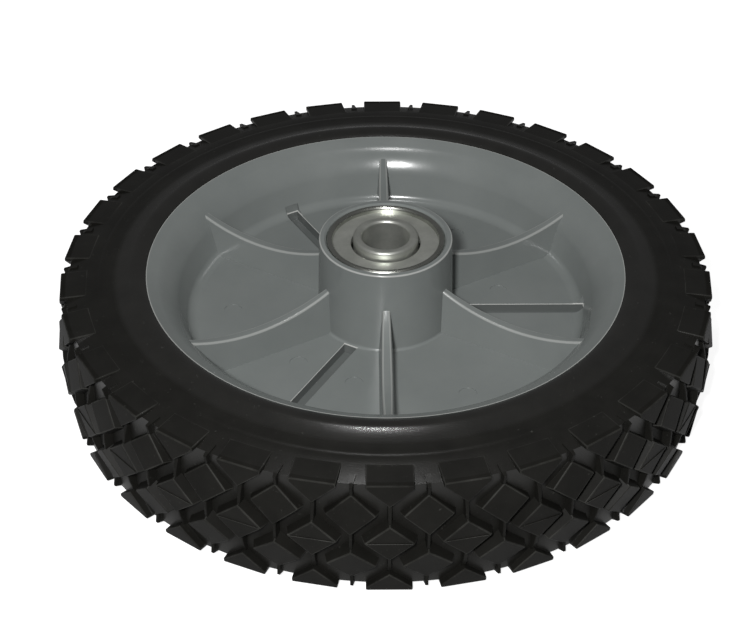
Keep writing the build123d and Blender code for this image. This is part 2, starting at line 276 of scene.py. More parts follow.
class WheelSettings(PropertyGroup):
    """All settings of the wheel."""

    tyre: PointerProperty(type=TyreSettings, name="Tyre", description="Rubber tyre")
    hub: PointerProperty(type=HubSettings, name="Hub", description="Moulded hub")
    bearing: PointerProperty(type=BearingSettings, name="Bearing", description="Ball bearings")
    stage: PointerProperty(type=StageSettings, name="Stage", description="Camera, lamps and floor")


def turned(bm, profile, steps):
    """Spin a closed profile of (radius, height) points once round the axle."""
    verts = [bm.verts.new((radius, 0, height)) for radius, height in profile]
    edges = [bm.edges.new(pair) for pair in zip(verts, verts[1:] + verts[:1])]
    bmesh.ops.spin(
        bm, geom=verts + edges, cent=CENTRE, axis=AXLE, angle=2 * pi, steps=steps, use_merge=True
    )


def ring_edges(bm, corner):
    """Edges that run round the axle through one corner of a turned profile."""
    radius, height = corner

    def at_corner(vert):
        return abs(hypot(vert.co.x, vert.co.y) - radius) < 2e-6 and abs(vert.co.z - height) < 2e-6

    return [edge for edge in bm.edges if all(at_corner(vert) for vert in edge.verts)]


def edge_layer(bm):
    """Face values for the materials: above 0 where an edge is painted paler as a highlight, below 0 where a
    groove is painted darker as shade.
    """
    return bm.faces.layers.float.get(EDGE) or bm.faces.layers.float.new(EDGE)


def rounded(bm, edges, width, segments=3, worn=0):
    """Round off edges, and mark how pale the materials paint the new faces; that paleness is a painted
    highlight, on the tyre partly scuffs too.
    """
    layer = edge_layer(bm)
    made = bmesh.ops.bevel(
        bm,
        geom=edges,
        offset=width,
        offset_type="OFFSET",
        segments=segments,
        profile=0.5,
        affect="EDGES",
        material=-1,
        clamp_overlap=True,
    )["faces"]
    for face in made:
        face[layer] = worn


def slab(bm, outline, half_width):
    """Raise a side view of (x, z) points to a solid, with half_width(x, z) on each side of the X axis."""
    verts = [bm.verts.new((x, half_width(x, z), z)) for x, z in outline]
    grown = bmesh.ops.extrude_face_region(bm, geom=[bm.faces.new(verts)])["geom"]
    far = [item for item in grown if isinstance(item, bmesh.types.BMVert)]
    bmesh.ops.scale(bm, vec=(1, -1, 1), verts=far)
    return verts + far


def edges_of(verts):
    """Edges whose two ends are both among the given vertices."""
    chosen = set(verts)
    return list({edge for vert in verts for edge in vert.link_edges if set(edge.verts) <= chosen})


def arc_through(start, middle, end, steps):
    """Points of the arc through three points of a side view."""
    (ax, az), (bx, bz), (cx, cz) = start, middle, end
    span = 2 * (ax * (bz - cz) + bx * (cz - az) + cx * (az - bz))
    a2, b2, c2 = ax * ax + az * az, bx * bx + bz * bz, cx * cx + cz * cz
    centre = Vector(
        ((a2 * (bz - cz) + b2 * (cz - az) + c2 * (az - bz)) / span,
         (a2 * (cx - bx) + b2 * (ax - cx) + c2 * (bx - ax)) / span)
    )
    first, last = Vector(start) - centre, Vector(end) - centre
    sweep = first.angle_signed(last)
    points = []
    for step in range(steps + 1):
        angle = -sweep * step / steps
        x = first.x * cos(angle) - first.y * sin(angle)
        z = first.x * sin(angle) + first.y * cos(angle)
        points.append((centre.x + x, centre.y + z))
    return points


def repeated(bm, count):
    """Copy everything in a mesh round the axle."""
    step = 2 * pi / count
    bmesh.ops.spin(
        bm,
        geom=bm.verts[:] + bm.edges[:] + bm.faces[:],
        cent=CENTRE,
        axis=AXLE,
        angle=step * (count - 1),
        steps=count - 1,
        use_duplicate=True,
    )


def turn_verts(bm, verts, angle):
    """Turn vertices about the axle."""
    bmesh.ops.rotate(bm, cent=CENTRE, matrix=Matrix.Rotation(angle, 3, "Z"), verts=verts)


def joined(bm, other):
    """Move the contents of one mesh into another."""
    carrier = bpy.data.meshes.new("carrier")
    other.to_mesh(carrier)
    other.free()
    bm.from_mesh(carrier)
    bpy.data.meshes.remove(carrier)


def made_piece(bm, name, material, body, slot, *nodes):
    """Close a mesh into a finished piece that rides on a body in place of its solids."""
    bmesh.ops.remove_doubles(bm, verts=bm.verts, dist=1e-6)
    bmesh.ops.recalc_face_normals(bm, faces=bm.faces)
    for face in bm.faces:
        face.smooth = True
    for edge in bm.edges:
        edge.smooth = edge.calc_face_angle(0) < radians(38)
    mesh = bpy.data.meshes.new(name)
    bm.to_mesh(mesh)
    bm.free()
    mesh.materials.append(material)
    piece = bpy.data.objects.new(name, mesh)
    bpy.context.scene.collection.objects.link(piece)
    even = piece.modifiers.new("Even shading", "WEIGHTED_NORMAL")
    even.keep_sharp = True
    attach(piece, body)
    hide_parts(*nodes)
    return piece


def node(tree, kind, inputs=None, **settings):
    """Add a shader node, and set or link its inputs."""
    added = tree.nodes.new(kind)
    for key, value in settings.items():
        setattr(added, key, value)
    for key, value in (inputs or {}).items():
        if isinstance(value, bpy.types.NodeSocket):
            tree.links.new(value, added.inputs[key])
        else:
            added.inputs[key].default_value = value
    return added


def opaque(rgb):
    """A colour with full alpha."""
    return (rgb[0], rgb[1], rgb[2], 1)


def grain_group():
    """Shared effect: a soft mottle, fine specks and a height for a moulded or cast surface."""
    name = "Surface grain"
    if name in bpy.data.node_groups:
        return bpy.data.node_groups[name]
    group = bpy.data.node_groups.new(name, "ShaderNodeTree")
    scales = (("Mottle Scale", 90.0), ("Grain Scale", 1800.0), ("Speck Scale", 520.0), ("Speck Share", 0.3))
    for label, default in scales:
        socket = group.interface.new_socket(label, in_out="INPUT", socket_type="NodeSocketFloat")
        socket.default_value = default
    for label in ("Mottle", "Grain", "Specks"):
        group.interface.new_socket(label, in_out="OUTPUT", socket_type="NodeSocketFloat")
    start = group.nodes.new("NodeGroupInput")
    end = group.nodes.new("NodeGroupOutput")
    place = node(group, "ShaderNodeTexCoord").outputs["Object"]

    def noise(label, detail, roughness):
        scale = start.outputs[label]
        inputs = {"Vector": place, "Scale": scale, "Detail": detail, "Roughness": roughness}
        return node(group, "ShaderNodeTexNoise", inputs).outputs["Fac"]

    mottle = noise("Mottle Scale", 5.0, 0.6)
    grain = noise("Grain Scale", 2.0, 0.5)
    fleck = noise("Speck Scale", 4.0, 0.7)
    shared = start.outputs["Speck Share"]
    threshold = node(group, "ShaderNodeMath", {0: 0.85, 1: shared}, operation="SUBTRACT")
    upper = node(group, "ShaderNodeMath", {0: threshold.outputs[0], 1: 0.08}, operation="ADD")
    specks = node(
        group,
        "ShaderNodeMapRange",
        {"Value": fleck, "From Min": threshold.outputs[0], "From Max": upper.outputs[0]},
        interpolation_type="SMOOTHSTEP",
    )
    spread = node(group, "ShaderNodeMapRange", {"Value": mottle, "From Min": 0.3, "From Max": 0.7})
    group.links.new(spread.outputs["Result"], end.inputs["Mottle"])
    group.links.new(grain, end.inputs["Grain"])
    group.links.new(specks.outputs["Result"], end.inputs["Specks"])
    return group


def new_material(name):
    """An empty node material with its shader and output."""
    material = bpy.data.materials.new(name)
    material.use_nodes = True
    tree = material.node_tree
    return material, tree, tree.nodes["Principled BSDF"]


def placed_grain(tree, mottle, grain, speck, specked):
    """Place the shared grain in a material with its own scales."""
    placed = tree.nodes.new("ShaderNodeGroup")
    placed.node_tree = grain_group()
    placed.inputs["Mottle Scale"].default_value = mottle
    placed.inputs["Grain Scale"].default_value = grain
    placed.inputs["Speck Scale"].default_value = speck
    placed.inputs["Speck Share"].default_value = specked
    return placed.outputs


def mixed(tree, factor, first, second):
    """Mix two colours."""
    mix = node(tree, "ShaderNodeMix", data_type="RGBA")
    for key, value in (("A", first), ("B", second)):
        socket = next(s for s in mix.inputs if s.name == key and s.type == "RGBA")
        if isinstance(value, bpy.types.NodeSocket):
            tree.links.new(value, socket)
        else:
            socket.default_value = opaque(value)
    tree.links.new(factor, next(s for s in mix.inputs if s.name == "Factor" and s.type == "VALUE"))
    return next(s for s in mix.outputs if s.type == "RGBA")


def ranged(tree, value, low, high):
    """Stretch a value from 0 to 1 onto another range."""
    return node(tree, "ShaderNodeMapRange", {"Value": value, "To Min": low, "To Max": high}).outputs["Result"]


def scaled(tree, value, factor):
    """Multiply a value by a number or by another value."""
    return node(tree, "ShaderNodeMath", {0: value, 1: factor}, operation="MULTIPLY").outputs[0]


def axle_distance(tree):
    """Distance of a surface point from the axle, in metres, and its height."""
    place = node(tree, "ShaderNodeTexCoord").outputs["Object"]
    apart = node(tree, "ShaderNodeSeparateXYZ", {"Vector": place}).outputs
    across = node(tree, "ShaderNodeCombineXYZ", {"X": apart["X"], "Y": apart["Y"]}).outputs["Vector"]
    distance = node(tree, "ShaderNodeVectorMath", {0: across}, operation="LENGTH").outputs["Value"]
    return distance, apart["Z"]


def faded(tree, value, start, end):
    """A mask that goes smoothly from 0 at one value to 1 at another."""
    return node(
        tree,
        "ShaderNodeMapRange",
        {"Value": value, "From Min": start, "From Max": end},
        interpolation_type="SMOOTHSTEP",
    ).outputs["Result"]


def summed(tree, first, second):
    """Add two values."""
    return node(tree, "ShaderNodeMath", {0: first, 1: second}, operation="ADD").outputs[0]


def edge_value(tree):
    """The faces' value: above 0 on edges painted paler as a highlight, on the tyre partly scuffs too, below 0
    in grooves painted darker as shade.
    """
    return node(tree, "ShaderNodeAttribute", attribute_name=EDGE).outputs["Fac"]


def rubber_material(settings):
    """Black rubber with a faint bloom, a few scuffs, a fine grain, a smooth bead and a dull tread; the
    tread's edges are painted paler, partly as scuffs and partly as a painted highlight.
    """
    material, tree, shader = new_material("black rubber")
    grain = placed_grain(tree, 120, 2600, 700, 0.2)
    bloomed = mixed(tree, grain["Mottle"], settings.rubber, settings.bloom)
    # Factor towards the scuff colour: the edges' value, partly scuffs and partly a painted highlight, plus
    # random scuff specks.
    edge_scuff_and_highlight = scaled(tree, edge_value(tree), grain["Mottle"])
    worn = summed(tree, scaled(tree, edge_scuff_and_highlight, 0.5), scaled(tree, grain["Specks"], 0.3))
    tree.links.new(mixed(tree, worn, bloomed, settings.scuff_and_highlight), shader.inputs["Base Color"])
    distance = axle_distance(tree)[0]
    beyond_bead = faded(tree, distance, settings.bead_radius - MM, settings.bead_radius + MM)
    on_tread = faded(tree, distance, settings.groove_radius - 0.8 * MM, settings.groove_radius - 0.2 * MM)
    rough = summed(tree, ranged(tree, beyond_bead, 0.2, 0.3), scaled(tree, on_tread, 0.2))
    tree.links.new(rough, shader.inputs["Roughness"])
    gloss = summed(tree, ranged(tree, beyond_bead, 1.0, 0.34), scaled(tree, on_tread, -0.26))
    tree.links.new(gloss, shader.inputs["Specular IOR Level"])
    bump = node(tree, "ShaderNodeBump", {"Strength": 0.25, "Distance": 0.00008, "Height": grain["Grain"]})
    tree.links.new(bump.outputs["Normal"], shader.inputs["Normal"])
    return material


def plastic_material(settings):
    """Grey moulded plastic with flow marks, a satin skin, edges painted paler as a painted highlight and
    grooves painted darker as painted shade.
    """
    material, tree, shader = new_material("grey plastic")
    grain = placed_grain(tree, 45, 1500, 420, 0.2)
    streaked = mixed(tree, grain["Mottle"], settings.plastic, settings.flow)
    # Edges painted paler: a painted highlight.
    edge_highlighted = mixed(tree, edge_value(tree), streaked, settings.edge)
    # Floor grooves painted darker: painted shade.
    groove_shaded = mixed(tree, scaled(tree, edge_value(tree), -1), edge_highlighted, settings.groove_shade)
    tree.links.new(groove_shaded, shader.inputs["Base Color"])
    tree.links.new(ranged(tree, grain["Mottle"], 0.19, 0.26), shader.inputs["Roughness"])
    bump = node(tree, "ShaderNodeBump", {"Strength": 0.15, "Distance": 0.00006, "Height": grain["Grain"]})
    tree.links.new(bump.outputs["Normal"], shader.inputs["Normal"])
    return material


def steel_material(name, bright, dull, low, high, metallic):
    """Plated steel with fine turning lines round the axle."""
    material, tree, shader = new_material(name)
    distance, height = axle_distance(tree)
    line = node(tree, "ShaderNodeCombineXYZ", {"X": distance, "Y": height}).outputs["Vector"]
    lines = node(tree, "ShaderNodeTexNoise", {"Vector": line, "Scale": 5200.0, "Detail": 2.0}).outputs["Fac"]
    grain = placed_grain(tree, 160, 2400, 600, 0.2)
    tinted = mixed(tree, grain["Mottle"], bright, dull)
    tree.links.new(tinted, shader.inputs["Base Color"])
    tree.links.new(ranged(tree, grain["Mottle"], low, high), shader.inputs["Roughness"])
    bump = node(tree, "ShaderNodeBump", {"Strength": 0.12, "Distance": 0.00003, "Height": lines})
    tree.links.new(bump.outputs["Normal"], shader.inputs["Normal"])
    shader.inputs["Metallic"].default_value = metallic
    return material


def crown(settings):
    """Radius of the blocks' faces, and of the axis about which the crown of the tread curves."""
    drop = settings.crown_radius * (1 - cos(settings.row_angle))
    lift = settings.block_height / 2 * sin(settings.row_angle)
    face = settings.outer_radius + drop - lift
    return face, face - settings.crown_radius


def crown_at(settings, height):
    """Radius of the crown at a height."""
    axis = crown(settings)[1]
    return axis + sqrt(settings.crown_radius**2 - height**2)


def add_diamond(bm, settings, angle, tilt, sunk=0):
    """One tread block: a four-sided frustum laid on its side, tilted with the crown and rounded."""
    face, axis = crown(settings)
    face -= sunk
    wide, high = settings.block_width / 2, settings.block_height / 2
    root = settings.groove_radius - settings.root_depth
    spread = (face - root) * tan(settings.block_taper) * hypot(wide, high) / (wide * high)
    place = (
        Matrix.Rotation(angle, 4, "Z")
        @ Matrix.Translation((axis, 0, 0))
        @ Matrix.Rotation(-tilt, 4, "Y")
        @ Matrix.Translation(((face + root) / 2 - axis, 0, 0))
        @ Matrix.Rotation(pi / 2, 4, "Y")
        @ Matrix.Diagonal((high, wide, 1, 1))
    )
    verts = bmesh.ops.create_cone(
        bm, cap_ends=True, segments=4, radius1=1 + spread, radius2=1, depth=face - root, matrix=place
    )["verts"]
    ahead = place.to_3x3() @ Vector((0, 0, 1))
    middle = place.translation
    top = [vert for vert in verts if (vert.co - middle).dot(ahead) > 0]
    edges = {edge for vert in top for edge in vert.link_edges}
    # The block's top edges are painted paler: partly scuffs, partly a painted highlight.
    rounded(bm, list(edges), settings.edge_round, 2, settings.edge_highlight)


def lug_profile(settings):
    """Side view of a shoulder lug, from its point on the tread to the flat band."""
    root = settings.notch_radius - 2 * settings.crease_drop
    tip = 2 * settings.crown_radius * sin(settings.row_angle) - settings.block_height / 2
    band = settings.side_height - settings.crease_drop
    corner = settings.side_height - settings.lug_fall
    return [
        (root, tip),
        (settings.lug_corner + (corner - tip) * tan(settings.lug_tilt), tip),
        (settings.lug_corner, corner),
        (settings.notch_radius, band),
        (root, band - settings.crease_drop),
    ]


def add_lug(bm, settings):
    """One shoulder lug, a slab cut to a point that aims at the middle of the tread."""
    half = settings.lug_width / 2
    outline = lug_profile(settings)
    tip = outline[0][1]
    slab(bm, outline, lambda x, z: half)
    for side in (1, -1):
        cut = bmesh.ops.bisect_plane(
            bm,
            geom=bm.verts[:] + bm.edges[:] + bm.faces[:],
            plane_co=(0, 0, tip),
            plane_no=(0, side * settings.block_height, -settings.block_width),
            clear_outer=True,
        )["geom_cut"]
        rim = [item for item in cut if isinstance(item, bmesh.types.BMEdge)]
        bmesh.ops.edgeloop_fill(bm, edges=rim)
    bmesh.ops.remove_doubles(bm, verts=bm.verts, dist=1e-6)
    bmesh.ops.recalc_face_normals(bm, faces=bm.faces)
    inner = outline[0][0] + 0.1 * MM
    edges = [
        edge
        for edge in bm.edges
        if all(vert.co.x > inner for vert in edge.verts) and edge.calc_face_angle(0) > radians(8)
    ]
    # The lug's edges are painted paler: partly scuffs, partly a painted highlight.
    rounded(bm, edges, settings.edge_round, 2, settings.edge_highlight)


def add_fin(bm, settings, outline):
    """A thin fin with drafted sides, in the plane of the axle."""
    top = max(x for x, z in outline)
    half = settings.fin_width / 2
    grow = tan(settings.fin_draft)
    verts = slab(bm, outline, lambda x, z: half + (top - x) * grow)
    crest = [vert for vert in verts if vert.co.x > settings.groove_radius]
    bmesh.ops.recalc_face_normals(bm, faces=bm.faces)
    rounded(bm, edges_of(crest), settings.fin_width / 4, 2)


def fin_outlines(settings):
    """Side views of the fins that join the points of blocks and lugs, each with its share of a pitch."""
    root = settings.groove_radius - settings.root_depth
    recess = settings.fin_recess
    bite = settings.fin_bite
    point = settings.block_height / 2
    row = settings.crown_radius * sin(settings.row_angle)
    inner = row - point * cos(settings.row_angle)
    outer = row + point * cos(settings.row_angle)
    tip = lug_profile(settings)[0][1]
    floor = settings.side_height - settings.notch_drop

    def top(height):
        return (crown_at(settings, height) - recess, height)

    across = [(root, -row), top(-inner - bite), top(0), top(inner + bite), (root, row)]
    middle = (point + tip) / 2
    upright = [(root, 0), top(point - bite), top(middle), top(tip + bite), (root, tip + 2 * bite)]
    spike = [(root, row), top(outer - 1.5 * bite), (settings.lug_corner, floor), (root, floor + bite)]
    return [
        (0, across),
        (0.5, upright),
        (0.5, [(x, -z) for x, z in upright]),
        (0, spike),
        (0, [(x, -z) for x, z in spike]),
    ]


def tread_pitch(settings):
    """One pitch of the tread: blocks, lugs, fins and the parting line."""
    bm = bmesh.new()
    pitch = 2 * pi / settings.pitches
    for tilt in (-settings.row_angle, settings.row_angle):
        add_diamond(bm, settings, 0, tilt)
    add_diamond(bm, settings, pitch / 2, 0, settings.flash_height)
    for share, outline in fin_outlines(settings):
        fin = bmesh.new()
        add_fin(fin, settings, outline)
        turn_verts(fin, fin.verts, share * pitch)
        joined(bm, fin)
    for side in (1, -1):
        lug = bmesh.new()
        add_lug(lug, settings)
        bmesh.ops.scale(lug, vec=(1, 1, side), verts=lug.verts)
        turn_verts(lug, lug.verts, pitch / 2)
        joined(bm, lug)

    flash = bmesh.new()
    size = (2 * settings.flash_height, settings.flash_length, settings.flash_width)
    level = crown(settings)[0] - settings.flash_height
    ridge = bmesh.ops.create_cube(
        flash, size=1, matrix=Matrix.Translation((level, 0, 0)) @ Matrix.Diagonal((*size, 1))
    )["verts"]
    # The parting line's rounded faces are painted fully pale: a painted highlight.
    rounded(flash, edges_of(ridge), settings.flash_height / 3, 1, 1)
    turn_verts(flash, flash.verts, pitch / 2)
    joined(bm, flash)
    return bm


def crest_arc(foot, crest, steps):
    """Points of an arc that starts at its foot and is level when it reaches its crest."""
    run, rise = crest[0] - foot[0], crest[1] - foot[1]
    radius = (run * run + rise * rise) / (2 * rise)
    sweep = asin(run / radius)
    turns = [sweep * (1 - step / steps) for step in range(steps)]
    return [(crest[0] - radius * sin(angle), crest[1] - radius * (1 - cos(angle))) for angle in turns]


def carcass(settings):
    """The tyre under its tread, turned about the axle, with a rounded bead ridge."""
    band = settings.side_height - settings.crease_drop
    crest = (settings.crest_radius, settings.crest_height)
    rise = crest_arc((settings.rim_radius, settings.rim_height), crest, 6)
    flank = (settings.crest_radius + settings.crest_width, settings.crest_height - settings.crest_fall)
    fall = crest_arc(flank, crest, 5)
    half = [
        (settings.inner_radius, 0),
        (settings.seat_radius, settings.seat_height),
        (settings.rim_radius, settings.rim_height - settings.rim_depth),
        *rise,
        crest,
        *reversed(fall),
        (settings.bead_radius, settings.side_height),
        (settings.crease_radius, settings.side_height),
        (settings.crease_radius + settings.crease_run, band),
        (settings.notch_radius, band),
        (settings.notch_radius + settings.notch_run, settings.side_height - settings.notch_drop),
        (settings.groove_radius, 0),
    ]
    mirrored = [(radius, -height) for radius, height in reversed(half[1:-1])]
    bm = bmesh.new()
    turned(bm, half + mirrored, 6 * settings.pitches)
    for side in (1, -1):
        crease = ring_edges(bm, (settings.crease_radius, side * settings.side_height))
        rounded(bm, crease, settings.crease_round, 2)
    return bm


class WHEEL_OT_tyre(Operator):
    """Build the rubber tyre with its tread"""

    bl_idname = "mower_wheel.tyre"
    bl_label = "Rubber tyre"

    def execute(self, context):
        settings = context.scene.mower_wheel.tyre
        bm = tread_pitch(settings)
        repeated(bm, settings.pitches)
        joined(bm, carcass(settings))
        made_piece(bm, "rubber_tyre", rubber_material(settings), "wheel", "tyre_rubber", "tyre")
        return {"FINISHED"}


def hub_profile(settings):
    """Section of the hub: boss, web, bowl and rim, on both sides of the web."""
    seat = settings.seat_radius
    mouth = seat + settings.seat_chamfer
    foot = settings.boss_radius + settings.boss_draft
    step = seat - settings.shoulder
    shoulder = (settings.wall_top_radius + settings.rim_wall, settings.wall_top_height - settings.edge_depth)
    edge = settings.edge_radius
    low_edge = settings.edge_height - settings.edge_depth
    return [
        (seat, settings.boss_front - settings.seat_chamfer),
        (mouth, settings.boss_front),
        (settings.boss_radius, settings.boss_front),
        (foot, settings.floor_height),
        (settings.wall_foot_radius, settings.floor_height),
        (settings.wall_top_radius, settings.wall_top_height),
        (edge, settings.edge_height),
        (edge, low_edge),
        shoulder,
        (settings.wall_foot_radius + settings.rim_wall, 0),
        (shoulder[0], -shoulder[1]),
        (edge, -low_edge),
        (edge, -settings.edge_height),
        (settings.wall_top_radius, -settings.wall_top_height),
        (settings.wall_foot_radius, settings.web_back),
        (foot, settings.web_back),
        (settings.boss_radius, settings.boss_back),
        (mouth, settings.boss_back),
        (seat, settings.boss_back + settings.seat_chamfer),
        (seat, settings.boss_back + settings.seat_depth),
        (step, settings.boss_back + settings.seat_depth),
        (step, settings.boss_front - settings.seat_depth),
        (seat, settings.boss_front - settings.seat_depth),
    ]


def hub_body(settings):
    """The turned part of the hub, with its fillets."""
    bm = bmesh.new()
    turned(bm, hub_profile(settings), 180)
    foot = settings.boss_radius + settings.boss_draft
    top, painted_highlight = settings.wall_top_radius, settings.edge_highlight
    faces = (
        (settings.floor_height, settings.wall_top_height, settings.edge_height, settings.boss_front),
        (settings.web_back, -settings.wall_top_height, -settings.edge_height, settings.boss_back),
    )
    for floor, turning, edge, end in faces:
        rounded(bm, ring_edges(bm, (settings.wall_foot_radius, floor)), settings.wall_round, 6)
        rounded(bm, ring_edges(bm, (foot, floor)), settings.boss_foot_round, 4)
        rounded(bm, ring_edges(bm, (top, turning)), settings.lip_round, 12)
        # The lip's edge and the boss's ends are painted paler: a painted highlight.
        rounded(bm, ring_edges(bm, (settings.edge_radius, edge)), settings.edge_round, 3, painted_highlight)
        rounded(bm, ring_edges(bm, (settings.boss_radius, end)), settings.boss_round, 3, painted_highlight)
    bmesh.ops.recalc_face_normals(bm, faces=bm.faces)
    return bm


def hub_cutters(settings):
    """What the mould leaves out of the floor: grooves with broken edges, and ejector pin marks."""
    bm = bmesh.new()
    layer = edge_layer(bm)
    step = 2 * pi / settings.slots
    middle = (settings.slot_start + settings.slot_end) / 2
    reach = (settings.slot_end - settings.slot_start) / 2
    bottom = settings.floor_height - settings.slot_depth
    levels = (
        (0, bottom),
        (0, settings.floor_height - settings.slot_edge),
        (2 * settings.slot_edge, settings.floor_height + settings.slot_edge),
        (2 * settings.slot_edge, settings.floor_height + settings.slot_depth),
    )
    rings = []
    for grow, height in levels:
        x, y = reach + grow, settings.slot_width / 2 + grow
        corners = ((middle - x, -y), (middle + x, -y), (middle + x, y), (middle - x, y))
        rings.append([bm.verts.new((*corner, height)) for corner in corners])
    # Groove floor and lower walls are painted darker as painted shade; the broken edge is painted paler as a
    # painted highlight.
    bm.faces.new(reversed(rings[0]))[layer] = -settings.slot_shade
    bm.faces.new(rings[-1])
    values = (-settings.slot_shade, settings.slot_highlight, 0)
    for value, low, high in zip(values, rings, rings[1:]):
        for here in range(4):
            there = (here + 1) % 4
            side = bm.faces.new((low[here], low[there], high[there], high[here]))
            side[layer] = value
    marks = [
        (settings.mark_circle, step / 2),
        (settings.pair_circle, settings.pair_angle),
        (settings.pair_circle, -settings.pair_angle),
    ]
    for circle, angle in marks:
        bmesh.ops.create_cone(
            bm,
            cap_ends=True,
            segments=32,
            radius1=settings.mark_radius,
            radius2=settings.mark_radius,
            depth=2 * settings.mark_depth,
            matrix=Matrix.Rotation(angle, 4, "Z") @ Matrix.Translation((circle, 0, settings.floor_height)),
        )
    repeated(bm, settings.slots)
    return bm


def cut(body, cutters):
    """Subtract one mesh from another and hand back the result."""
    objects = []
    for name, bm in (("body", body), ("cutters", cutters)):
        mesh = bpy.data.meshes.new(name)
        bm.to_mesh(mesh)
        bm.free()
        objects.append(bpy.data.objects.new(name, mesh))
        bpy.context.scene.collection.objects.link(objects[-1])
    whole, cutter = objects
    difference = whole.modifiers.new("Cut", "BOOLEAN")
    difference.operation = "DIFFERENCE"
    difference.solver = "EXACT"
    difference.object = cutter
    result = bmesh.new()
    result.from_object(whole, bpy.context.evaluated_depsgraph_get())
    for piece in objects:
        mesh = piece.data
        bpy.data.objects.remove(piece)
        bpy.data.meshes.remove(mesh)
    return result


def add_rib(bm, settings, boss_height, dip_height, wall_height):
    """One drafted rib along X, standing on Z = 0, with a hollow top and rounded edges."""
    sink = settings.rib_sink
    inner = settings.boss_radius - sink
    outer = settings.wall_top_radius + sink
    top = arc_through((inner, boss_height), (settings.rib_dip_radius, dip_height), (outer, wall_height), 20)
    outline = top + [(settings.wall_foot_radius + sink, -sink), (inner, -sink)]
    grow = tan(settings.rib_draft)
    verts = slab(bm, outline, lambda x, z: settings.rib_width / 2 + (boss_height - z) * grow)
    bmesh.ops.recalc_face_normals(bm, faces=bm.faces)
    crest = [vert for vert in verts if vert.co.z > -sink / 2]
    long = [edge for edge in edges_of(crest) if abs(edge.verts[0].co.x - edge.verts[1].co.x) > 0.1 * MM]
    # The rounded tops of the ribs are painted paler: a painted highlight.
    rounded(bm, long, settings.rib_round, 3, settings.rib_highlight)


class WHEEL_OT_hub(Operator):
    """Build the moulded hub with its ribs, grooves and pin marks"""

    bl_idname = "mower_wheel.hub"
    bl_label = "Moulded hub"

    def execute(self, context):
        settings = context.scene.mower_wheel.hub
        bm = cut(hub_body(settings), hub_cutters(settings))
        ribs = bmesh.new()
        end = settings.wall_top_height - settings.rib_wall_inset
        front_end, back_end = end - settings.floor_height, end + settings.web_back
        add_rib(ribs, settings, settings.rib_boss_height, settings.rib_dip_height, front_end)
        bmesh.ops.translate(ribs, vec=(0, 0, settings.floor_height), verts=ribs.verts)
        back = bmesh.new()
        add_rib(back, settings, settings.back_rib_boss_height, settings.back_rib_dip_height, back_end)
        bmesh.ops.scale(back, vec=(1, 1, -1), verts=back.verts)
        bmesh.ops.translate(back, vec=(0, 0, settings.web_back), verts=back.verts)
        joined(ribs, back)
        turn_verts(ribs, ribs.verts, settings.rib_angle)
        repeated(ribs, settings.ribs)
        joined(bm, ribs)
        made_piece(bm, "moulded_hub", plastic_material(settings), "wheel", "hub_plastic", "wheel_hub")
        return {"FINISHED"}


def ring_mesh(settings):
    """Inner ring with a rounded mouth and a ball track."""
    bore, outside = settings.bore_radius, settings.ring_radius
    reach = settings.track_reach
    bm = bmesh.new()
    turned(
        bm,
        [
            (bore, settings.ring_back),
            (bore, settings.ring_front),
            (outside, settings.ring_front),
            (outside, settings.ball_height + reach),
            (outside - settings.track_depth, settings.ball_height),
            (outside, settings.ball_height - reach),
            (outside, settings.ring_back),
        ],
        120,
    )
    for radius in (bore, outside):
        for height in (settings.ring_back, settings.ring_front):
            rounded(bm, ring_edges(bm, (radius, height)), settings.ring_round, 6)
    return bm


def cup_mesh(settings):
    """Outer shell with its front lip rolled over."""
    outside = settings.cup_radius
    lip = outside - settings.lip_width
    track = outside - settings.cup_wall
    bed = settings.shield_radius + settings.shield_play
    back = settings.shield_front - settings.shield_thickness
    bm = bmesh.new()
    turned(
        bm,
        [
            (outside, settings.cup_back),
            (outside, settings.cup_front),
            (lip, settings.cup_front),
            (lip, settings.shield_front),
            (bed, settings.shield_front),
            (bed, back),
            (track, back),
            (track, settings.cup_back + settings.cup_wall),
            (settings.shield_hole, settings.cup_back + settings.cup_wall),
            (settings.shield_hole, settings.cup_back),
        ],
        144,
    )
    for radius in (outside, lip):
        rounded(bm, ring_edges(bm, (radius, settings.cup_front)), settings.lip_round, 6)
    return bm


def shield_mesh(settings):
    """Flat washer with softened rims."""
    back = settings.shield_front - settings.shield_thickness
    bm = bmesh.new()
    turned(
        bm,
        [
            (settings.shield_hole, back),
            (settings.shield_hole, settings.shield_front),
            (settings.shield_radius, settings.shield_front),
            (settings.shield_radius, back),
        ],
        120,
    )
    rounded(bm, ring_edges(bm, (settings.shield_hole, settings.shield_front)), settings.shield_round, 3)
    return bm


def ball_set_mesh(settings):
    """All the balls of one bearing."""
    bm = bmesh.new()
    bmesh.ops.create_uvsphere(
        bm,
        u_segments=28,
        v_segments=18,
        radius=settings.ball_radius,
        matrix=Matrix.Translation((settings.ball_circle, 0, settings.ball_height)),
    )
    repeated(bm, settings.balls)
    return bm


